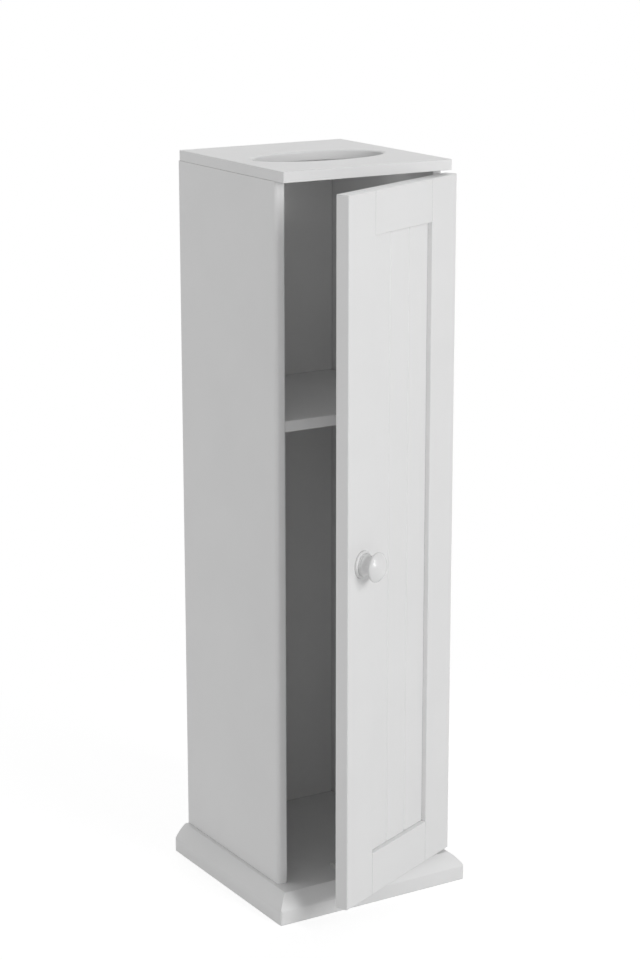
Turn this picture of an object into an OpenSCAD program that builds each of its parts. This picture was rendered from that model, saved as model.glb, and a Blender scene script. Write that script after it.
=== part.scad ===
// Free-standing toilet paper cabinet: a slim box on a moulded base, with an oval
// slot in its top, one fixed shelf, and a framed door on two butt hinges.
// The origin is the middle of the base's underside, and +Y points to the back.

/* [Carcass] */
// Width across the side panels, and of the top
body_w = 171; // [150:1:220]
// Depth from the front edge of the top to the cabinet's back
body_d = 185.5; // [170:0.5:240]
// Height of the whole cabinet
total_h = 676; // [600:1:900]
// Thickness of the side panels
side_t = 10; // [9:0.5:15]
// Thickness of the top
top_t = 9.5; // [9:0.5:18]
// Distance from the cabinet's back to the back edge of the top
top_setback = 1.5; // [0:0.5:5]
// Thickness of the shelf
shelf_t = 10; // [9:0.5:18]
// Height of the shelf's underside above the floor
shelf_z = 447; // [300:0.5:520]
// Distance from the side panels' front edges back to the shelf
shelf_setback = 2; // [0:0.5:20]
// Thickness of the back panel
back_t = 3; // [2.5:0.5:6]
// Width of the ledge in each side panel that the back panel lies on
back_ledge_w = 5; // [4:0.5:6]
// Radius along the outer front edge of each side panel
side_edge_r = 3.5; // [0.5:0.5:4]
// Radius along the inner front edge of each side panel
side_inner_r = 1.5; // [0.5:0.25:2]
// Radius along the edges of the top
top_edge_r = 0.5; // [0.5:0.25:3]
// Radius along the outer edges where the side panels and the top meet
top_joint_r = 0.6; // [0.2:0.1:1]
// Radius along the front edges of the shelf
shelf_edge_r = 1; // [0.5:0.25:3]

/* [Slot] */
// Length of the oval slot, across the top
slot_l = 130; // [60:1:135]
// Width of the oval slot, front to back
slot_w = 67; // [20:1:90]
// Distance from the middle of the top forward to the middle of the slot
slot_forward = 9; // [0:0.5:20]
// Radius round the two rims of the slot
slot_edge_r = 1.5; // [0.5:0.25:3]

/* [Base] */
// How far the base stands out beyond the top, at the front and both sides
base_lip = 14.5; // [10:0.5:26]
// Height of the base
base_h = 26; // [22:0.5:36]
// Height of the base's upright face, below its moulding
base_face_h = 12.5; // [8:0.5:16]
// Radius of the moulding's long curve
base_curve_r = 36; // [30:1:80]
// Radius of the short curve between the upright face and the long curve
base_round_r = 3; // [1:0.5:4]
// Width of the flat between the moulding and the carcass
base_flat_w = 3.5; // [1:0.5:5]
// Radius round the base's underside
base_foot_r = 0.5; // [0.5:0.25:3]
// Radius on the base's upright front corners
base_corner_r = 2; // [0.5:0.5:4]

/* [Door] */
// Angle that the door stands open
door_open = 24.3; // [0:0.1:90]
// Thickness of the door's frame
door_t = 13; // [12:0.5:18]
// Gap between the door and the top
door_top_gap = 3.5; // [1:0.5:6]
// Gap between the door and the base
door_base_gap = 2.5; // [1:0.5:3]
// Width of the stiles
stile_w = 40.5; // [32:0.5:50]
// Height of the top rail
top_rail_h = 38; // [30:1:60]
// Height of the bottom rail
bottom_rail_h = 40; // [30:1:60]
// Radius along the frame's outer front edges
frame_edge_r = 1.25; // [0.5:0.25:2]
// Radius along the frame's inner front edges and at its joints
frame_joint_r = 0.75; // [0.25:0.25:1]
// Length of the rails' tongues
tongue_l = 8; // [5:0.5:10]
// Thickness of the centre panel
panel_t = 5; // [4:0.5:5.5]
// Depth of the centre panel behind the frame's front
panel_recess = 4.5; // [3:0.5:5.5]
// Boards that the panel's grooves mark out
panel_boards = 3; // [2:1:5]
// Width of each groove in the panel
panel_groove_w = 2.6; // [1:0.2:4]

/* [Knob] */
// Diameter of the knob's head
knob_d = 26.4; // [22:0.2:34]
// Diameter of the round plate at the knob's foot
rosette_d = 24.5; // [22:0.5:32]
// Distance from the door's front to the knob's top
knob_reach = 22; // [20:0.5:32]
// Height of the knob's middle above the floor
knob_z = 342.5; // [200:0.5:500]
// Distance from the door's free edge to the knob's middle
knob_edge = 22; // [18:0.5:30]
// Diameter of the screw that holds the knob
knob_screw_d = 4; // [3:0.5:5]

/* [Hinges] */
// Height of each hinge
hinge_h = 40; // [30:1:60]
// Distance from each end of the door to the middle of its hinge
hinge_end = 70; // [50:1:120]
// Width of each leaf on the wood
leaf_w = 9; // [8:0.5:9]
// Thickness of each leaf
leaf_t = 0.8; // [0.6:0.1:1.2]
// Gap between the two leaves when the door is closed
leaf_gap = 0.2; // [0.1:0.1:0.6]
// Outer diameter of the knuckles
barrel_d = 4.4; // [4:0.2:6]
// Diameter of the hinge pin
pin_d = 2; // [1.6:0.1:2.4]
// Number of knuckles, shared between the two leaves
knuckles = 5; // [3:2:7]

/* [Catch] */
// Length of the magnetic catch's housing, over its ears
catch_w = 44; // [40:1:56]
// Depth of the housing, front to back
catch_d = 13; // [12:0.5:18]
// Height of the housing
catch_h = 14; // [13:0.5:18]
// Width of the strike plate
strike_w = 30; // [24:1:40]
// Height of the strike plate
strike_h = 10; // [8:0.5:10]
// Thickness of the strike plate
strike_t = 1; // [0.8:0.1:1.2]

/* [Fixings] */
// Diameter of the dowels
dowel_d = 5; // [4:0.5:6]
// Length of the dowels
dowel_l = 20; // [16:1:30]
// Depth that a dowel goes into the face of a board
dowel_face_depth = 6; // [4:0.5:7]
// Length of the screws up through the base
base_screw_l = 45; // [40:1:60]
// Length of the hinge screws
hinge_screw_l = 9; // [7:0.5:11]
// Length of the back panel's nails
nail_l = 14; // [10:1:20]
// Number of nails down each side of the back panel
nails_per_side = 6; // [3:1:10]

/* [Hidden] */
$fn = 64;

// How far every cut runs past the surface that it opens
overrun = 1;
// Room round a screw, nail or dowel in its hole
fixing_clear = 0.05;
// Room round the panel and the tongues in the frame's grooves
groove_clear = 0.1;
// Room between the door leaf's knuckles and the pin
pin_run_clear = 0.04;
// Room between the cabinet leaf's knuckles and the pin
pin_seat_clear = 0.01;

// Places in plan
base_w = body_w + 2 * base_lip;
base_d = body_d + base_lip;
back_y = base_d / 2;
top_front_y = back_y - body_d;
door_gap = 2 * leaf_t + leaf_gap;
door_back_y = top_front_y + door_t;
side_front_y = door_back_y + door_gap;
side_d = back_y - side_front_y;
inner_w = body_w - 2 * side_t;
slot_y = top_front_y + body_d / 2 - slot_forward;
back_panel_y = back_y - back_t;

// Heights
top_z = total_h - top_t;
side_h = top_z - base_h;
door_z = base_h + door_base_gap;
door_h = top_z - door_top_gap - door_z;
panel_z = door_z + bottom_rail_h;
panel_open_h = door_h - bottom_rail_h - top_rail_h;
panel_open_w = body_w - 2 * stile_w;

// Hinge axis, outside the side panel and midway between it and the door
barrel_clear = 0.2;
hinge_x = body_w / 2 + barrel_clear + barrel_d / 2;
hinge_y = side_front_y - door_gap / 2;
hinge_zs = [door_z + hinge_end, door_z + door_h - hinge_end];
knuckle_gap = 0.3;
knuckle_h = (hinge_h - (knuckles - 1) * knuckle_gap) / knuckles;
pin_head_h = 1.4;
leaf_corner_r = 1;
leaf_reach = hinge_x - body_w / 2 + leaf_w;
hinge_screw_zs = [-hinge_h / 4, hinge_h / 4];
hinge_screw_x = body_w / 2 - leaf_w / 2;

// Screws, each as [head diameter, head height, shank diameter, length]
knob_screw_bite = 11;
hinge_screw = [4.4, 1.2, 2.4, hinge_screw_l];
base_screw = [7, 3, 3.5, base_screw_l];
knob_screw_size = [7.6, 2.4, knob_screw_d, door_t + knob_screw_bite];
catch_screw = [4.6, 1.6, 2.5, 12];
strike_screw_size = [4.6, 1.4, 2.4, 9];
// Depth of the base screws' heads in the base's underside
base_screw_sink = 1;
// Length of a screw's point and radius of a domed head, as shares of the diameter
point_share = 0.8;
dome_share = 0.65;
// Cross recess: length and width of its arms over the head, and its share of the height
cross_l_share = 0.5;
cross_w_share = 0.12;
cross_depth_share = 0.5;

nail_d = 1.2;
nail_head_d = 2.8;
nail_head_h = 0.6;

// Places of the fixings along the depth of a side panel, and nails along its height
dowel_place_shares = [0.18, 0.82];
base_screw_place_shares = [0.34, 0.66];
dowel_chamfer = 0.6;
nail_margin = 30;

// Parts of the catch
catch_box_w = 26;
catch_ear_t = 3;
catch_setback = 0.5;
catch_round_r = 1;
pole_plate_t = 1;
magnet_t = 4;
magnet_w = 20;
magnet_d = 10;
pole_gap = 0.2;
catch_y = side_front_y + catch_setback;
magnet_z = base_h + (catch_h + catch_ear_t) / 2;
pole_front_y = door_back_y + strike_t + pole_gap;
strike_corner_r = 1.5;

// Centre of the slot rim's curve, as a share of the rim's size: over 1, so that the
// curve crosses the slot's wall and the face in clear lines
rim_centre_share = 1.3;

// Moulding, in the profile's own plane: its long curve meets the flat, and its short
// curve stands out from the long one by a hair, so that the two cross in a clear line
mould_cross = 0.02;
mould_end = [base_lip - base_flat_w, base_h];
round_centre = [base_round_r, base_face_h];
mould_centre = meet(round_centre, base_curve_r - base_round_r + mould_cross,
    mould_end, base_curve_r);
mould_start = round_centre
    + base_round_r * (round_centre - mould_centre) / norm(round_centre - mould_centre);

// Knob's turned shape: thicknesses and heights as shares of its reach, radii as
// shares of the foot plate's and the head's, and the easing as a share of a disc
rosette_t_share = 0.1;
step_t_share = 0.09;
step_r_share = 0.82;
neck_r_share = 0.66;
head_under_share = 0.62;
head_rim_share = 0.114;
disc_edge_share = 0.5;
knob_x = -body_w / 2 + knob_edge;

// Where two circles meet, on the right of the line from the first to the second
function meet(p, rp, q, rq) =
    let (
        d = norm(q - p),
        a = (d * d + rp * rp - rq * rq) / (2 * d),
        h = sqrt(rp * rp - a * a),
        along = (q - p) / d,
        across = [along[1], -along[0]]
    )
    p + a * along + h * across;

// Places the door's pieces, drawn closed, at the angle where the door stands open
module swing() {
    translate([hinge_x, hinge_y, 0])
        rotate([0, 0, door_open])
            translate([-hinge_x, -hinge_y, 0])
                children();
}

// Rectangle whose corners have the radii [low left, low right, high right, high left]
module soft_rect(size, radii) {
    difference() {
        square(size);
        soft_corner(radii[0]);
        translate([size[0], 0]) rotate(90) soft_corner(radii[1]);
        translate(size) rotate(180) soft_corner(radii[2]);
        translate([0, size[1]]) rotate(270) soft_corner(radii[3]);
    }
}

// What a rounded corner takes away
module soft_corner(r) {
    if (r > 0) {
        difference() {
            translate([-overrun, -overrun]) square(r + overrun);
            translate([r, r]) circle(r = r);
        }
    }
}

// Block whose outline is rounded as it is seen from above, the front and the side
module soft_block(size, plan, front, side) {
    intersection() {
        linear_extrude(size[2]) soft_rect([size[0], size[1]], plan);
        translate([0, size[1], 0])
            rotate([90, 0, 0])
                linear_extrude(size[1])
                    soft_rect([size[0], size[2]], front);
        rotate([90, 0, 90])
            linear_extrude(size[0])
                soft_rect([size[1], size[2]], side);
    }
}

// Shank of a screw with its point, along +Z, or its hole with room all round
module shank(size, clear) {
    point_l = size[2] * point_share;
    cylinder(h = size[3] - point_l, d = size[2] + 2 * clear);
    translate([0, 0, size[3] - point_l])
        cylinder(h = point_l + clear, d1 = size[2] + 2 * clear, d2 = size[2] * (1 - point_share));
}

// Cross recess of a screw's head, sunk from the origin along +Z
module cross_recess(size) {
    arm_l = size[0] * cross_l_share;
    arm_w = size[0] * cross_w_share;
    for (turn = [0, 90])
        rotate(turn)
            translate([-arm_l / 2, -arm_w / 2, -overrun])
                cube([arm_l, arm_w, overrun + size[1] * cross_depth_share]);
}

// Countersunk screw that goes along +Z, with its head's flat face on the plane
module flat_screw(size) {
    difference() {
        union() {
            cylinder(h = size[1], d1 = size[0], d2 = size[2]);
            shank(size, 0);
        }
        cross_recess(size);
    }
}

// Hole for a countersunk screw, open over its head for the distance above
module flat_screw_hole(size, above) {
    translate([0, 0, -above])
        cylinder(h = above, d = size[0] + 2 * fixing_clear);
    cylinder(h = size[1], d1 = size[0] + 2 * fixing_clear, d2 = size[2] + 2 * fixing_clear);
    shank(size, fixing_clear);
}

// Round-headed screw that goes along +Z, with its head below the plane
module round_screw(size) {
    difference() {
        union() {
            mirror([0, 0, 1]) dome_head(size[0], size[1]);
            shank(size, 0);
        }
        translate([0, 0, -size[1]]) cross_recess(size);
    }
}

// Domed head on the plane, up along +Z
module dome_head(d, h) {
    dome_r = d * dome_share;
    rotate_extrude()
        intersection() {
            square([d / 2, h]);
            translate([0, h - dome_r]) circle(r = dome_r);
        }
}

// Dowel that stands on the origin, with eased ends
module dowel() {
    cylinder(h = dowel_chamfer, d1 = dowel_d - 2 * dowel_chamfer, d2 = dowel_d);
    translate([0, 0, dowel_chamfer]) cylinder(h = dowel_l - 2 * dowel_chamfer, d = dowel_d);
    translate([0, 0, dowel_l - dowel_chamfer])
        cylinder(h = dowel_chamfer, d1 = dowel_d, d2 = dowel_d - 2 * dowel_chamfer);
}

// Hole for a dowel, along +Z, with a little room at its end
module dowel_hole(depth) {
    translate([0, 0, -overrun])
        cylinder(h = depth + fixing_clear + overrun, d = dowel_d + 2 * fixing_clear);
}

// Puts its child at each dowel or screw of the upright side panels
module at_side_places(shares) {
    for (side = [-1, 1])
        for (share = shares)
            translate([side * (body_w - side_t) / 2, side_front_y + share * side_d, 0])
                children();
}

// Half of the base's outline, from its outer face inwards: an upright face, the
// moulding's short and long curves, and the flat under the carcass
module base_edge(half) {
    intersection() {
        square([half, base_h]);
        union() {
            soft_rect([half, base_face_h], [base_foot_r, 0, 0, 0]);
            translate(round_centre)
                circle(r = base_round_r);
            intersection() {
                translate(mould_centre)
                    circle(r = base_curve_r);
                translate([mould_start[0], base_face_h / 2])
                    square([half, base_h]);
            }
            translate([mould_centre[0], base_face_h / 2])
                square([half, base_h]);
        }
    }
}

module base_board() {
    color("white")
        difference() {
            translate([-base_w / 2, -base_d / 2, 0])
                intersection() {
                    // Seen from the front, moulded at both sides
                    translate([0, base_d, 0])
                        rotate([90, 0, 0])
                            linear_extrude(base_d) {
                                base_edge(base_w / 2 + overrun);
                                translate([base_w, 0])
                                    mirror([1, 0])
                                        base_edge(base_w / 2 + overrun);
                            }
                    // Seen from the side, moulded at the front and square at the back
                    rotate([90, 0, 90])
                        linear_extrude(base_w)
                            base_edge(base_d);
                    // Seen from above
                    linear_extrude(base_h)
                        soft_rect([base_w, base_d], [base_corner_r, base_corner_r, 0, 0]);
                }
            at_side_places(dowel_place_shares)
                translate([0, 0, base_h])
                    mirror([0, 0, 1])
                        dowel_hole(dowel_l / 2);
            base_screw_places()
                flat_screw_hole(base_screw, base_screw_sink + overrun);
            catch_screw_places()
                shank(catch_screw, fixing_clear);
        }
}

// Screws up through the base, with +Z in from the flat faces of their heads
module base_screw_places() {
    at_side_places(base_screw_place_shares)
        translate([0, 0, base_screw_sink])
            children();
}

// Side panel at the right, before its own cuts; the left one is its mirror image
module side_board() {
    translate([body_w / 2 - side_t, side_front_y, base_h])
        difference() {
            soft_block([side_t, side_d, side_h],
                [side_inner_r, side_edge_r, 0, 0], [0, 0, top_joint_r, 0], [0, 0, 0, 0]);
            translate([-overrun, side_d - back_t, -overrun])
                cube([back_ledge_w + overrun, back_t + overrun, side_h + 2 * overrun]);
        }
}

// What the dowels, screws and nails take from the side panels
module side_holes() {
    at_side_places(dowel_place_shares) {
        translate([0, 0, base_h]) dowel_hole(dowel_l / 2);
        translate([0, 0, top_z]) mirror([0, 0, 1]) dowel_hole(dowel_l - dowel_face_depth);
    }
    base_screw_places()
        shank(base_screw, fixing_clear);
    shelf_dowel_places()
        dowel_hole(dowel_face_depth);
    nail_places()
        nail_form(fixing_clear);
}

// Left and right ends of the shelf, with +Z out into the side panel
module shelf_dowel_places() {
    for (side = [-1, 1])
        for (share = dowel_place_shares)
            translate([side * inner_w / 2, side_front_y + share * side_d, shelf_z + shelf_t / 2])
                rotate([0, side * 90, 0])
                    children();
}

module left_side_panel() {
    color("white")
        difference() {
            mirror([1, 0, 0]) side_board();
            side_holes();
        }
}

module right_side_panel() {
    color("white")
        difference() {
            side_board();
            side_holes();
            cabinet_leaf_screw_places()
                flat_screw_hole(hinge_screw, overrun);
        }
}

module top_panel() {
    color("white")
        difference() {
            translate([-body_w / 2, top_front_y, top_z])
                soft_block([body_w, body_d - top_setback, top_t],
                    [top_edge_r, top_edge_r, top_edge_r, top_edge_r],
                    [top_joint_r, top_joint_r, top_edge_r, top_edge_r],
                    [top_edge_r, 0, top_edge_r, top_edge_r]);
            translate([0, slot_y, top_z])
                slot_cut();
            at_side_places(dowel_place_shares)
                translate([0, 0, top_z])
                    dowel_hole(dowel_face_depth);
        }
}

// Oval slot through the top, turned at unit radius and drawn out to its size
module slot_cut() {
    scale([slot_l / 2, slot_w / 2, 1])
        rotate_extrude() {
            translate([0, -overrun])
                square([1, top_t + 2 * overrun]);
            slot_rim();
            translate([0, top_t])
                mirror([0, 1])
                    slot_rim();
        }
}

// Half outline of what eases the slot's lower rim
module slot_rim() {
    rim_share = slot_edge_r / (slot_w / 2);
    curve_share = norm([rim_centre_share, rim_centre_share - 1]);
    difference() {
        translate([1 - rim_share, -overrun])
            square([(1 + rim_centre_share) * rim_share, rim_centre_share * slot_edge_r + overrun]);
        translate([1 + rim_centre_share * rim_share, rim_centre_share * slot_edge_r])
            scale(curve_share * [rim_share, slot_edge_r])
                circle(r = 1);
    }
}

module shelf() {
    shelf_d = back_panel_y - side_front_y - shelf_setback;
    color("white")
        difference() {
            translate([-inner_w / 2, side_front_y + shelf_setback, shelf_z])
                rotate([90, 0, 90])
                    linear_extrude(inner_w)
                        soft_rect([shelf_d, shelf_t], [shelf_edge_r, 0, 0, shelf_edge_r]);
            shelf_dowel_places()
                mirror([0, 0, 1])
                    dowel_hole(dowel_l - dowel_face_depth);
        }
}

module back_panel() {
    back_w = inner_w + 2 * back_ledge_w - 2 * groove_clear;
    color("white")
        difference() {
            translate([-back_w / 2, back_panel_y, base_h + groove_clear])
                cube([back_w, back_t, side_h - 2 * groove_clear]);
            nail_places()
                nail_form(fixing_clear);
        }
}

// Nails down both edges of the back panel, with +Z in through it
module nail_places() {
    reach = side_h - 2 * nail_margin;
    for (side = [-1, 1])
        for (i = [0 : nails_per_side - 1])
            translate([side * (inner_w + back_ledge_w) / 2, back_y,
                    base_h + nail_margin + i * reach / (nails_per_side - 1)])
                rotate([90, 0, 0])
                    children();
}

// One nail, sunk flush, or its hole
module nail_form(clear) {
    translate([0, 0, -clear])
        cylinder(h = nail_head_h + 2 * clear, d = nail_head_d + 2 * clear);
    cylinder(h = nail_l + clear, d = nail_d + 2 * clear);
}

module back_panel_nails() {
    color("silver")
        nail_places()
            nail_form(0);
}

module base_dowels() {
    color("burlywood")
        at_side_places(dowel_place_shares)
            translate([0, 0, base_h - dowel_l / 2])
                dowel();
}

module shelf_dowels() {
    color("burlywood")
        shelf_dowel_places()
            translate([0, 0, dowel_face_depth - dowel_l])
                dowel();
}

module top_dowels() {
    color("burlywood")
        at_side_places(dowel_place_shares)
            translate([0, 0, top_z + dowel_face_depth - dowel_l])
                dowel();
}

module base_screws() {
    color("silver")
        base_screw_places()
            flat_screw(base_screw);
}

// Stile at the left of the closed door, grooved along its inner edge
module stile() {
    difference() {
        translate([-body_w / 2, top_front_y, door_z])
            soft_block([stile_w, door_t, door_h],
                [frame_edge_r, frame_joint_r, frame_joint_r, frame_joint_r],
                [0, 0, 0, 0],
                [frame_edge_r, frame_joint_r, frame_joint_r, frame_edge_r]);
        translate([-panel_open_w / 2 - tongue_l, top_front_y + panel_recess, door_z - overrun])
            cube([tongue_l + overrun, panel_t, door_h + 2 * overrun]);
    }
}

module door_free_stile() {
    color("white")
        swing()
            difference() {
                stile();
                knob_place()
                    mirror([0, 0, 1])
                        cylinder(h = door_t + overrun, d = knob_screw_d + 2 * fixing_clear);
            }
}

module door_hinge_stile() {
    color("white")
        swing()
            difference() {
                mirror([1, 0, 0]) stile();
                door_leaf_screw_places()
                    flat_screw_hole(hinge_screw, overrun);
            }
}

// Rail that stands on z = 0 with its outer edge low, its panel groove along the top
module rail(h) {
    translate([-panel_open_w / 2, top_front_y, 0])
        difference() {
            soft_block([panel_open_w, door_t, h],
                [frame_joint_r, frame_joint_r, 0, 0],
                [0, 0, 0, 0],
                [frame_edge_r, frame_joint_r, frame_joint_r, frame_joint_r]);
            translate([-overrun, panel_recess, h - tongue_l])
                cube([panel_open_w + 2 * overrun, panel_t, tongue_l + overrun]);
        }
    // One tongue at each end, as a bar right through the rail
    bar_l = panel_open_w + 2 * (tongue_l - groove_clear);
    translate([-bar_l / 2, top_front_y + panel_recess + groove_clear, 0])
        cube([bar_l, panel_t - 2 * groove_clear, h - tongue_l]);
}

module door_top_rail() {
    color("white")
        swing()
            translate([0, 0, door_z + door_h])
                mirror([0, 0, 1])
                    rail(top_rail_h);
}

module door_bottom_rail() {
    color("white")
        swing()
            difference() {
                translate([0, 0, door_z]) rail(bottom_rail_h);
                strike_place()
                    flat_screw_hole(strike_screw_size, overrun);
            }
}

module door_panel() {
    panel_w = panel_open_w + 2 * (tongue_l - groove_clear);
    panel_h = panel_open_h + 2 * (tongue_l - groove_clear);
    board_w = panel_open_w / panel_boards;
    color("white")
        swing()
            translate([0, top_front_y + panel_recess + groove_clear,
                    panel_z - tongue_l + groove_clear])
                linear_extrude(panel_h)
                    difference() {
                        translate([-panel_w / 2, 0])
                            square([panel_w, panel_t - 2 * groove_clear]);
                        for (i = [1 : panel_boards - 1])
                            translate([-panel_open_w / 2 + i * board_w, 0])
                                rotate(45)
                                    square(panel_groove_w / sqrt(2), center = true);
                    }
}

// Middle of the knob's foot on the closed door's front, with +Z away from the door
module knob_place() {
    translate([knob_x, top_front_y, knob_z])
        rotate([90, 0, 0])
            children();
}

module knob() {
    color("white")
        swing()
            knob_place()
                difference() {
                    rotate_extrude() knob_profile();
                    translate([0, 0, -overrun])
                        cylinder(h = knob_screw_bite + overrun + fixing_clear,
                            d = knob_screw_d + 2 * fixing_clear);
                }
}

// Half outline of the knob: foot plate, step, waisted neck and domed head
module knob_profile() {
    rosette_t = rosette_t_share * knob_reach;
    step_t = step_t_share * knob_reach;
    step_r = step_r_share * rosette_d / 2;
    head_z = head_under_share * knob_reach;
    rim_r = head_rim_share * knob_d / 2;
    rim_x = knob_d / 2 - rim_r;
    rim_z = head_z + rim_r;
    // The crown's arc touches the round of the rim and tops out at the knob's reach
    crown_h = knob_reach - rim_z;
    crown_r = (rim_x * rim_x + crown_h * crown_h - rim_r * rim_r) / (2 * (crown_h - rim_r));
    crown_end = crown_r * rim_x / (crown_r - rim_r);
    eased_disc(rosette_d / 2, 0, rosette_t);
    eased_disc(step_r, rosette_t, step_t);
    knob_neck(rosette_t + step_t, head_z, step_r, neck_r_share * knob_d / 2);
    translate([0, head_z])
        square([rim_x, rim_r]);
    translate([rim_x, rim_z])
        circle(r = rim_r);
    intersection() {
        translate([0, knob_reach - crown_r])
            circle(r = crown_r);
        translate([0, rim_z])
            square([crown_end, crown_h]);
    }
}

// Half outline of a disc on height z, with its upper rim eased
module eased_disc(r, z, t) {
    ease_r = disc_edge_share * t;
    translate([0, z])
        soft_rect([r, t], [0, 0, ease_r, 0]);
}

// Half outline of a neck between two heights, hollowed from its ends to its waist
module knob_neck(z0, z1, end_r, waist_r) {
    half_h = (z1 - z0) / 2;
    sag = end_r - waist_r;
    cove_r = (half_h * half_h + sag * sag) / (2 * sag);
    difference() {
        translate([0, z0])
            square([end_r, z1 - z0]);
        translate([waist_r + cove_r, z0 + half_h])
            circle(r = cove_r);
    }
}

module knob_screw() {
    color("silver")
        swing()
            knob_place()
                translate([0, 0, -door_t])
                    round_screw(knob_screw_size);
}

// Screws of the cabinet leaves, with +Z in through leaf and side panel
module cabinet_leaf_screw_places() {
    for (z = hinge_zs)
        for (dz = hinge_screw_zs)
            translate([hinge_screw_x, side_front_y - leaf_t, z + dz])
                rotate([-90, 0, 0])
                    children();
}

// Screws of the door leaves, on the closed door, with +Z in through leaf and stile
module door_leaf_screw_places() {
    for (z = hinge_zs)
        for (dz = hinge_screw_zs)
            translate([hinge_screw_x, door_back_y + leaf_t, z + dz])
                rotate([90, 0, 0])
                    children();
}

// One leaf round the hinge's axis: a plate that reaches to -X, with every second
// knuckle from the first, cut back where the other leaf's knuckles turn
module hinge_leaf(plate_y, first, bore_clear) {
    pitch = knuckle_h + knuckle_gap;
    foot_z = -hinge_h / 2;
    difference() {
        union() {
            translate([-leaf_reach, plate_y + leaf_t, foot_z])
                rotate([90, 0, 0])
                    linear_extrude(leaf_t)
                        soft_rect([leaf_reach, hinge_h], [leaf_corner_r, 0, 0, leaf_corner_r]);
            for (i = [first : 2 : knuckles - 1])
                translate([0, 0, foot_z + i * pitch])
                    cylinder(h = knuckle_h, d = barrel_d);
        }
        for (i = [1 - first : 2 : knuckles - 1])
            translate([0, 0, foot_z + i * pitch - knuckle_gap])
                cylinder(h = knuckle_h + 2 * knuckle_gap, d = barrel_d + 2 * knuckle_gap);
        translate([0, 0, foot_z - overrun])
            cylinder(h = hinge_h + 2 * overrun, d = pin_d + 2 * bore_clear);
    }
}

// Leaf on the side panel's front edge, with the outer knuckles
module cabinet_leaf(z) {
    color("silver")
        difference() {
            translate([hinge_x, hinge_y, z])
                hinge_leaf(leaf_gap / 2, 0, pin_seat_clear);
            cabinet_leaf_screw_places()
                flat_screw_hole(hinge_screw, overrun);
        }
}

// Leaf on the back of the door, with the inner knuckles
module door_leaf(z) {
    color("silver")
        swing()
            difference() {
                translate([hinge_x, hinge_y, z])
                    hinge_leaf(-door_gap / 2, 1, pin_run_clear);
                door_leaf_screw_places()
                    flat_screw_hole(hinge_screw, overrun);
            }
}

// Pin through all the knuckles, with a domed head on the top one
module hinge_pin(z) {
    color("silver")
        translate([hinge_x, hinge_y, z - hinge_h / 2]) {
            cylinder(h = hinge_h, d = pin_d);
            translate([0, 0, hinge_h]) dome_head(barrel_d, pin_head_h);
        }
}

module upper_hinge_cabinet_leaf() {
    cabinet_leaf(hinge_zs[1]);
}

module upper_hinge_door_leaf() {
    door_leaf(hinge_zs[1]);
}

module upper_hinge_pin() {
    hinge_pin(hinge_zs[1]);
}

module lower_hinge_cabinet_leaf() {
    cabinet_leaf(hinge_zs[0]);
}

module lower_hinge_door_leaf() {
    door_leaf(hinge_zs[0]);
}

module lower_hinge_pin() {
    hinge_pin(hinge_zs[0]);
}

module cabinet_hinge_screws() {
    color("silver")
        cabinet_leaf_screw_places()
            flat_screw(hinge_screw);
}

module door_hinge_screws() {
    color("silver")
        swing()
            door_leaf_screw_places()
                flat_screw(hinge_screw);
}

// Screws in the housing's two ears, with +Z down into the base
module catch_screw_places() {
    for (side = [-1, 1])
        translate([side * (catch_w + catch_box_w) / 4, catch_y + catch_d / 2, base_h + catch_ear_t])
            mirror([0, 0, 1])
                children();
}

// Housing on the base's floor: a box between two ears, open in front for the magnet
module catch_housing() {
    pocket_h = magnet_t + 2 * pole_plate_t;
    pocket_w = magnet_w + 2 * fixing_clear;
    color("white")
        difference() {
            union() {
                translate([-catch_w / 2, catch_y, base_h])
                    linear_extrude(catch_ear_t)
                        soft_rect([catch_w, catch_d], catch_round_r * [1, 1, 1, 1]);
                translate([-catch_box_w / 2, catch_y, base_h])
                    soft_block([catch_box_w, catch_d, catch_h],
                        catch_round_r * [1, 1, 1, 1],
                        catch_round_r * [0, 0, 1, 1],
                        catch_round_r * [0, 0, 1, 1]);
            }
            translate([-pocket_w / 2, catch_y - overrun, magnet_z - pocket_h / 2])
                cube([pocket_w, magnet_d + overrun, pocket_h]);
            catch_screw_places()
                translate([0, 0, -overrun])
                    cylinder(h = catch_ear_t + 2 * overrun, d = catch_screw[2] + 2 * fixing_clear);
        }
}

module catch_magnet() {
    color("dimgray")
        translate([-magnet_w / 2, catch_y, magnet_z - magnet_t / 2])
            cube([magnet_w, magnet_d, magnet_t]);
}

// Two plates, over and under the magnet, that stand out in front of it
module catch_pole_plates() {
    plate_d = catch_y + magnet_d - pole_front_y;
    color("silver")
        for (z = [magnet_z - magnet_t / 2 - pole_plate_t, magnet_z + magnet_t / 2])
            translate([-magnet_w / 2, pole_front_y, z])
                linear_extrude(pole_plate_t)
                    soft_rect([magnet_w, plate_d], catch_round_r * [1, 1, 0, 0]);
}

module catch_screws() {
    color("silver")
        catch_screw_places()
            round_screw(catch_screw);
}

// Middle of the strike plate's outer face, on the closed door, with +Z into the rail
module strike_place() {
    translate([0, door_back_y + strike_t, magnet_z])
        rotate([90, 0, 0])
            children();
}

module strike_plate() {
    color("silver")
        swing()
            strike_place()
                difference() {
                    translate([-strike_w / 2, -strike_h / 2, 0])
                        linear_extrude(strike_t)
                            soft_rect([strike_w, strike_h], strike_corner_r * [1, 1, 1, 1]);
                    flat_screw_hole(strike_screw_size, overrun);
                }
}

module strike_screw() {
    color("silver")
        swing()
            strike_place()
                flat_screw(strike_screw_size);
}

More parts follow.
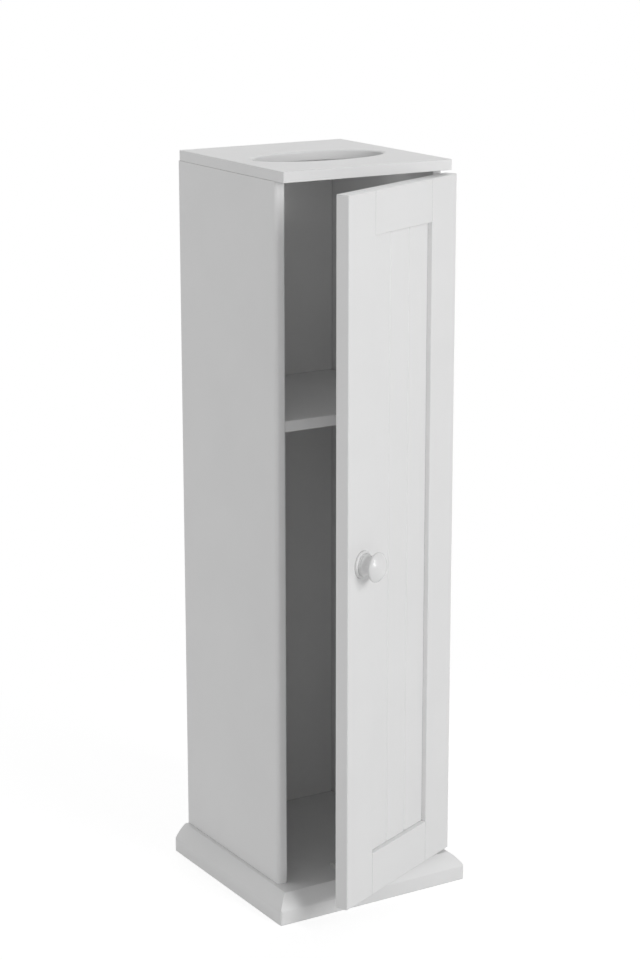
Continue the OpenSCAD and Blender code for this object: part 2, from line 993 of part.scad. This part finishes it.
base_board();
left_side_panel();
right_side_panel();
top_panel();
shelf();
back_panel();
base_dowels();
shelf_dowels();
top_dowels();
base_screws();
back_panel_nails();
door_free_stile();
door_hinge_stile();
door_top_rail();
door_bottom_rail();
door_panel();
knob();
knob_screw();
upper_hinge_cabinet_leaf();
upper_hinge_door_leaf();
upper_hinge_pin();
lower_hinge_cabinet_leaf();
lower_hinge_door_leaf();
lower_hinge_pin();
cabinet_hinge_screws();
door_hinge_screws();
catch_housing();
catch_magnet();
catch_pole_plates();
catch_screws();
strike_plate();
strike_screw();
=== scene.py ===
import math

import bpy
from mathutils import Euler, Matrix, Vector

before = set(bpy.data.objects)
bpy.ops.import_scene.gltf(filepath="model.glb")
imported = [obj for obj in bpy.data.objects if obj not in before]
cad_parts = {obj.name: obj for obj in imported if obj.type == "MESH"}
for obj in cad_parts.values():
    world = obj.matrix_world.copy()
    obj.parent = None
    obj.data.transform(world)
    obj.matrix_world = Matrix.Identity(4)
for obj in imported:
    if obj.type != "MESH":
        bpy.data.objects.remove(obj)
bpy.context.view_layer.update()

MM = 0.001

# Camera, as fitted to the photograph's straight edges
IMAGE_LONG_SIDE = 960
FOCAL_PIXELS = 2404.11
SENSOR_LONG_SIDE = 36.0
CAMERA_PLACE = (-1.1103, -1.8182, 0.9314)
CAMERA_AZIMUTH = -31.47
CAMERA_ELEVATION = 14.53
CAMERA_ROLL = -0.02
CLIP_START = 0.05
CLIP_END = 100

# Lamps: name, azimuth and elevation in degrees, distance, width and height in metres,
# and the level, which is the brightness that the lamp alone gives a white face turned to it
LAMPS = [
    ("key", 12, 15, 3.0, 0.3, 0.8, 0.185),
    ("key_left", 6, 16, 3.0, 0.3, 0.8, 0.085),
    ("key_high", 20, 30, 3.0, 0.4, 0.8, 0.16),
    ("left_front", -40, 20, 3.2, 1.6, 2.0, 0.05),
    ("left_back", -120, 20, 3.2, 1.6, 2.0, 0.165),
    ("back", 145, 50, 3.0, 1.6, 1.6, 0.15),
]
# The point that every lamp faces
AIM = (0.0, 0.0, 0.36)
# Strength of the white surroundings as a light
WORLD_LEVEL = 0.345

# Floor: half its side in metres, and its tone as a face that throws light back up
FLOOR_REACH = 40.0
FLOOR_TONE = 0.8
# Near the cabinet it is seen as a glow of this level and a face of this tone, which takes the shadow
GLOW_LEVEL = 0.8
SHADOW_TONE = 0.34
# Distances in metres from the middle of the cabinet's base, between which the shadow fades out
SHADOW_NEAR = 0.15
SHADOW_FAR = 0.6

# Nearly all values of a noise texture lie between these
NOISE_LOW = 0.25
NOISE_HIGH = 0.75

# Cosine between a face's own normal and its rounded one, on a sharp edge and on a flat face
EDGE_COSINE = 0.75
FLAT_COSINE = 0.99
BEVEL_SAMPLES = 6

# How open the room before a face is, from 0 to 1, deep in a joint and clear of one
JOINT_OPENNESS = 0.2
CLEAR_OPENNESS = 0.7
CREVICE_SAMPLES = 8

# Sockets of a mix node that mixes colours
MIX_SHARE = 0
MIX_FIRST = 6
MIX_SECOND = 7
MIX_RESULT = 2

# Refractive indices
PAINT_IOR = 1.5
PLASTIC_IOR = 1.49


def back_of(azimuth, elevation):
    """The unit vector from a target towards a viewer or lamp at these angles."""
    a = math.radians(azimuth)
    e = math.radians(elevation)
    return Vector((math.sin(a) * math.cos(e), -math.cos(a) * math.cos(e), math.sin(e)))


def facing(back):
    """The turn that makes a camera or lamp look against this vector, upright."""
    return (-back).to_track_quat("-Z", "Y")


def grey(value):
    return (value, value, value, 1)


def add_camera():
    data = bpy.data.cameras.new("camera")
    data.sensor_width = SENSOR_LONG_SIDE
    data.lens = FOCAL_PIXELS / IMAGE_LONG_SIDE * SENSOR_LONG_SIDE
    data.clip_start = CLIP_START
    data.clip_end = CLIP_END
    camera = bpy.data.objects.new("camera", data)
    bpy.context.scene.collection.objects.link(camera)
    roll = Euler((0, 0, math.radians(CAMERA_ROLL))).to_quaternion()
    camera.rotation_mode = "QUATERNION"
    camera.rotation_quaternion = facing(back_of(CAMERA_AZIMUTH, CAMERA_ELEVATION)) @ roll
    camera.location = CAMERA_PLACE
    bpy.context.scene.camera = camera


def add_lamp(name, azimuth, elevation, distance, width, height, level):
    data = bpy.data.lights.new(name, "AREA")
    data.shape = "RECTANGLE"
    data.size = width
    data.size_y = height
    data.energy = level * (math.pi * distance) ** 2
    lamp = bpy.data.objects.new(name, data)
    bpy.context.scene.collection.objects.link(lamp)
    back = back_of(azimuth, elevation)
    lamp.location = Vector(AIM) + back * distance
    lamp.rotation_mode = "QUATERNION"
    lamp.rotation_quaternion = facing(back)
    lamp.visible_camera = False


class Tree:
    """A node tree with short ways to add the nodes that the materials share."""

    def __init__(self, tree):
        self.nodes = tree.nodes
        self.links = tree.links
        self.nodes.clear()

    def add(self, kind, inputs=None, **settings):
        node = self.nodes.new(kind)
        for name, value in settings.items():
            setattr(node, name, value)
        for name, value in (inputs or {}).items():
            self.feed(node.inputs[name], value)
        return node

    def feed(self, socket, value):
        """Link another node's output to a socket, or set the socket's own value."""
        if isinstance(value, bpy.types.NodeSocket):
            self.links.new(value, socket)
        else:
            socket.default_value = value

    def calculate(self, operation, first, second, clamp=False):
        inputs = {0: first, 1: second}
        return self.add("ShaderNodeMath", inputs, operation=operation, use_clamp=clamp).outputs[0]

    def place(self):
        """The shaded point in metres, in the shared frame."""
        return self.add("ShaderNodeTexCoord").outputs["Object"]

    def stretched(self, place, scale):
        return self.add("ShaderNodeMapping", {"Vector": place, "Scale": scale}).outputs[0]

    def noise(self, place, size, detail=2.0, roughness=0.5):
        inputs = {"Vector": place, "Scale": 1 / size, "Detail": detail, "Roughness": roughness}
        return self.add("ShaderNodeTexNoise", inputs).outputs[0]

    def remap(self, value, low=0.0, high=1.0, start=NOISE_LOW, end=NOISE_HIGH):
        """Low where the value is at the start or before it, high from the end on."""
        inputs = {"Value": value, "From Min": start, "From Max": end, "To Min": low, "To Max": high}
        return self.add("ShaderNodeMapRange", inputs).outputs[0]

    def mix(self, share, first, second):
        """The first colour with this share of the second."""
        inputs = {MIX_SHARE: share, MIX_FIRST: first, MIX_SECOND: second}
        return self.add("ShaderNodeMix", inputs, data_type="RGBA").outputs[MIX_RESULT]

    def rounded_normal(self, radius):
        """The normal as it would be with every edge rounded by this radius."""
        return self.add("ShaderNodeBevel", {"Radius": radius}, samples=BEVEL_SAMPLES).outputs[0]

    def edges(self, radius):
        """1 on edges that stand out or turn in, 0 on flat and gently curved faces."""
        normal = self.add("ShaderNodeNewGeometry").outputs["Normal"]
        inputs = {0: normal, 1: self.rounded_normal(radius)}
        dot = self.add("ShaderNodeVectorMath", inputs, operation="DOT_PRODUCT")
        return self.remap(dot.outputs["Value"], 1.0, 0.0, EDGE_COSINE, FLAT_COSINE)

    def crevice_shade(self, reach):
        """1 deep in joints, grooves and inner corners, 0 on open faces; the paints darken their
        colour by it as painted shade.
        """
        inputs = {"Distance": reach}
        room = self.add("ShaderNodeAmbientOcclusion", inputs, samples=CREVICE_SAMPLES)
        return self.remap(room.outputs["AO"], 1.0, 0.0, JOINT_OPENNESS, CLEAR_OPENNESS)

    def bump(self, height, depth, normal=None):
        """The normal of a surface whose height of 1 stands for this depth."""
        inputs = {"Height": height, "Strength": 1.0, "Distance": depth}
        if normal is not None:
            inputs["Normal"] = normal
        return self.add("ShaderNodeBump", inputs).outputs[0]

    def finish(self, colour, roughness, normal, **more):
        """The material's one surface, which closes its tree."""
        inputs = {"Base Color": colour, "Roughness": roughness, "Normal": normal, **more}
        surface = self.add("ShaderNodeBsdfPrincipled", inputs)
        self.add("ShaderNodeOutputMaterial", {"Surface": surface.outputs[0]})

    def background_rays(self):
        """1 for rays that show the background: from the camera, a gloss or a clear piece."""
        path = self.add("ShaderNodeLightPath")
        camera_ray = path.outputs["Is Camera Ray"]
        seen = self.calculate("ADD", camera_ray, path.outputs["Is Glossy Ray"])
        return self.calculate("ADD", seen, path.outputs["Is Transmission Ray"], clamp=True)

    def mix_shaders(self, share, first, second):
        """The first shader with this share of the second."""
        return self.add("ShaderNodeMixShader", {0: share, 1: first, 2: second}).outputs[0]

    def matt(self, tone):
        return self.add("ShaderNodeBsdfDiffuse", {"Color": grey(tone)}).outputs[0]

    def glow(self, level):
        inputs = {"Color": grey(1), "Strength": level}
        return self.add("ShaderNodeEmission", inputs).outputs[0]

    def surroundings(self, level):
        inputs = {"Color": grey(1), "Strength": level}
        return self.add("ShaderNodeBackground", inputs).outputs[0]


def new_tree(name):
    material = bpy.data.materials.new(name)
    material.use_nodes = True
    return material, Tree(material.node_tree)


def satin_paint():
    """Sprayed satin paint: faint clouds of tone, a fine orange peel, edges a little thinner,
    and painted shade that darkens joints, grooves and inner corners."""
    tone = 0.8
    cloud_tone = tone * 0.975
    speck_tone = tone * 0.96
    worn_tone = tone * 0.93
    crevice_shade_tone = tone * 0.25
    peel_depth = 0.018 * MM
    wave_share = 3.0
    material, tree = new_tree("satin_paint")
    place = tree.place()
    clouds = tree.noise(place, size=90 * MM, detail=3.0, roughness=0.6)
    specks = tree.noise(place, size=3 * MM)
    spray = tree.noise(place, size=1.4 * MM, roughness=0.4)
    waves = tree.noise(place, size=16 * MM, detail=1.0)
    speck_share = tree.remap(specks, high=0.25, start=0.55, end=0.8)
    worn_share = tree.remap(specks, low=0.1, high=0.6)
    worn = tree.calculate("MULTIPLY", tree.edges(radius=0.7 * MM), worn_share)
    colour = tree.mix(tree.remap(clouds), grey(tone), grey(cloud_tone))
    colour = tree.mix(speck_share, colour, grey(speck_tone))
    colour = tree.mix(worn, colour, grey(worn_tone))
    # Painted shade: the colour darkens in joints, grooves and inner corners, where little light
    # reaches
    colour = tree.mix(tree.crevice_shade(reach=1.2 * MM), colour, grey(crevice_shade_tone))
    height = tree.calculate("ADD", spray, tree.calculate("MULTIPLY", waves, wave_share))
    roughness = tree.remap(clouds, low=0.38, high=0.46)
    tree.finish(colour, roughness, tree.bump(height, peel_depth), IOR=PAINT_IOR)
    return material


def gloss_paint():
    """Brushed gloss paint on the turned knob: it has flowed out into soft waves."""
    tone = 0.78
    cloud_tone = 0.755
    worn_tone = 0.725
    crevice_shade_tone = 0.2
    flow_depth = 0.06 * MM
    material, tree = new_tree("gloss_paint")
    place = tree.place()
    clouds = tree.noise(place, size=12 * MM)
    flow = tree.noise(place, size=5 * MM, detail=1.0)
    worn_share = tree.remap(clouds, low=0.2, high=0.8)
    worn = tree.calculate("MULTIPLY", tree.edges(radius=0.5 * MM), worn_share)
    colour = tree.mix(tree.remap(clouds), grey(tone), grey(cloud_tone))
    colour = tree.mix(worn, colour, grey(worn_tone))
    # Painted shade: the colour darkens in the knob's grooves and where it meets the door
    colour = tree.mix(tree.crevice_shade(reach=1.3 * MM), colour, grey(crevice_shade_tone))
    normal = tree.bump(flow, flow_depth, tree.rounded_normal(radius=0.4 * MM))
    roughness = tree.remap(clouds, low=0.2, high=0.28)
    tree.finish(colour, roughness, normal, IOR=PAINT_IOR)
    return material


def beech():
    """Bare beech along Z, with fine grain and short dark flecks."""
    pale = (0.62, 0.42, 0.24, 1)
    brown = (0.46, 0.28, 0.15, 1)
    dark = (0.25, 0.13, 0.06, 1)
    grain_stretch = (1, 1, 0.06)
    fleck_stretch = (1, 1, 0.2)
    grain_depth = 0.05 * MM
    material, tree = new_tree("bare_beech")
    place = tree.place()
    long_place = tree.stretched(place, grain_stretch)
    grain = tree.noise(long_place, size=1.2 * MM, detail=4.0, roughness=0.6)
    flecks = tree.noise(tree.stretched(place, fleck_stretch), size=0.5 * MM)
    fleck_share = tree.remap(flecks, high=0.6, start=0.6, end=0.75)
    colour = tree.mix(tree.remap(grain), pale, brown)
    colour = tree.mix(fleck_share, colour, dark)
    roughness = tree.remap(grain, low=0.55, high=0.75)
    tree.finish(colour, roughness, tree.bump(grain, grain_depth))
    return material


def plated_steel(name, bright, dull, smooth, rough):
    """Plated steel with fine lines drawn along Z, dull patches and rubbed edges."""
    rubbed_colour = grey(0.72)
    rubbed_share = 0.7
    line_stretch = (1, 1, 0.1)
    line_depth = 0.004 * MM
    material, tree = new_tree(name)
    place = tree.place()
    long_place = tree.stretched(place, line_stretch)
    lines = tree.noise(long_place, size=0.25 * MM, detail=3.0, roughness=0.6)
    patches = tree.noise(place, size=4 * MM, detail=3.0, roughness=0.6)
    rubbed = tree.calculate("MULTIPLY", tree.edges(radius=0.25 * MM), rubbed_share)
    colour = tree.mix(tree.remap(patches), bright, dull)
    colour = tree.mix(rubbed, colour, rubbed_colour)
    average = tree.calculate("MULTIPLY", tree.calculate("ADD", lines, patches), 0.5)
    roughness = tree.remap(average, smooth, rough)
    normal = tree.bump(lines, line_depth, tree.rounded_normal(radius=0.15 * MM))
    tree.finish(colour, roughness, normal, Metallic=1.0)
    return material


def zinc_plate():
    """Bright zinc, faintly blue, on the screws, nails and plates."""
    bright = (0.5, 0.515, 0.53, 1)
    dull = (0.34, 0.35, 0.365, 1)
    return plated_steel("zinc_plate", bright, dull, smooth=0.26, rough=0.42)


def nickel_plate():
    """Nickel, faintly warm, on the hinges."""
    bright = (0.55, 0.54, 0.52, 1)
    dull = (0.38, 0.37, 0.355, 1)
    return plated_steel("nickel_plate", bright, dull, smooth=0.2, rough=0.34)


def moulded_plastic():
    """White moulded plastic with a fine spark-eroded grain."""
    pale = (0.74, 0.74, 0.72, 1)
    duller = (0.7, 0.7, 0.68, 1)
    grain_depth = 0.02 * MM
    material, tree = new_tree("moulded_plastic")
    place = tree.place()
    grain = tree.noise(place, size=0.4 * MM)
    clouds = tree.noise(place, size=8 * MM)
    colour = tree.mix(tree.remap(clouds), pale, duller)
    normal = tree.bump(grain, grain_depth, tree.rounded_normal(radius=0.3 * MM))
    roughness = tree.remap(clouds, low=0.34, high=0.42)
    tree.finish(colour, roughness, normal, IOR=PLASTIC_IOR)
    return material


def ferrite():
    """Pressed ferrite: dark grey, dull and pitted."""
    black = (0.03, 0.03, 0.032, 1)
    charcoal = (0.07, 0.07, 0.072, 1)
    pit_depth = 0.03 * MM
    material, tree = new_tree("pressed_ferrite")
    pits = tree.noise(tree.place(), size=0.5 * MM, detail=3.0, roughness=0.7)
    colour = tree.mix(tree.remap(pits), black, charcoal)
    roughness = tree.remap(pits, low=0.5, high=0.7)
    tree.finish(colour, roughness, tree.bump(pits, pit_depth))
    return material


def add_world():
    """White surroundings that light the scene softly and are seen as plain white."""
    world = bpy.data.worlds.new("studio")
    world.use_nodes = True
    bpy.context.scene.world = world
    tree = Tree(world.node_tree)
    light = tree.surroundings(WORLD_LEVEL)
    white = tree.surroundings(1.0)
    mixed = tree.mix_shaders(tree.background_rays(), light, white)
    tree.add("ShaderNodeOutputWorld", {"Surface": mixed})


def floor_finish():
    """A pale face for light, seen as white but for a soft shadow near the cabinet."""
    material, tree = new_tree("floor")
    distance = tree.add("ShaderNodeVectorMath", {0: tree.place()}, operation="LENGTH")
    far = tree.remap(distance.outputs["Value"], start=SHADOW_NEAR, end=SHADOW_FAR)
    near = tree.add("ShaderNodeAddShader", {0: tree.matt(SHADOW_TONE), 1: tree.glow(GLOW_LEVEL)})
    seen = tree.mix_shaders(far, near.outputs[0], tree.glow(1.0))
    mixed = tree.mix_shaders(tree.background_rays(), tree.matt(FLOOR_TONE), seen)
    tree.add("ShaderNodeOutputMaterial", {"Surface": mixed})
    return material


def add_floor():
    mesh = bpy.data.meshes.new("floor")
    r = FLOOR_REACH
    mesh.from_pydata([(-r, -r, 0), (r, -r, 0), (r, r, 0), (-r, r, 0)], [], [(0, 1, 2, 3)])
    mesh.materials.append(floor_finish())
    floor = bpy.data.objects.new("floor", mesh)
    bpy.context.scene.collection.objects.link(floor)


def dress_nodes():
    """Each CAD node gets the finish of its slot."""
    finishes = {
        "white_paint": satin_paint(),
        "white_gloss": gloss_paint(),
        "beech": beech(),
        "zinc_steel": zinc_plate(),
        "hinge_steel": nickel_plate(),
        "white_plastic": moulded_plastic(),
        "magnet": ferrite(),
    }
    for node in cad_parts.values():
        slot = node.data.materials[0].name
        node.material_slots[0].material = finishes[slot]


add_camera()
for lamp in LAMPS:
    add_lamp(*lamp)
add_world()
add_floor()
dress_nodes()

bpy.context.scene.view_settings.view_transform = "Standard"
